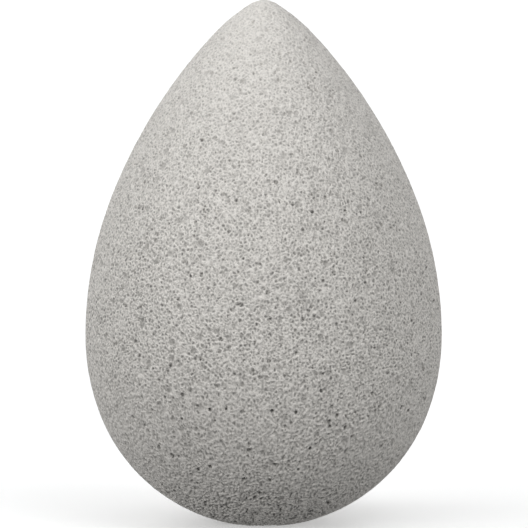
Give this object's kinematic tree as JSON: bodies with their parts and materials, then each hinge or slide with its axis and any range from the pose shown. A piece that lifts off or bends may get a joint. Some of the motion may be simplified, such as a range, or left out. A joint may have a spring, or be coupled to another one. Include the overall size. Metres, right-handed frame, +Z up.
{
  "type": "makeup sponge",
  "caption": "Teardrop makeup sponge of soft open-cell foam, with a pointed tip for small areas and a round end for blending, standing on its round end.",
  "frame": {"origin": "centre of the small flat on the round end, on which the sponge stands", "axes": "+Z up along the axis of symmetry, from the round end to the tip; X and Y are alike"},
  "size_m": [0.0406, 0.0406, 0.0595],
  "materials": {
    "foam": "dry open-cell foam, light warm grey, matt, with fine open pores"
  },
  "bodies": {
    "root": {"foam_body": "foam"}
  },
  "joints": []
}
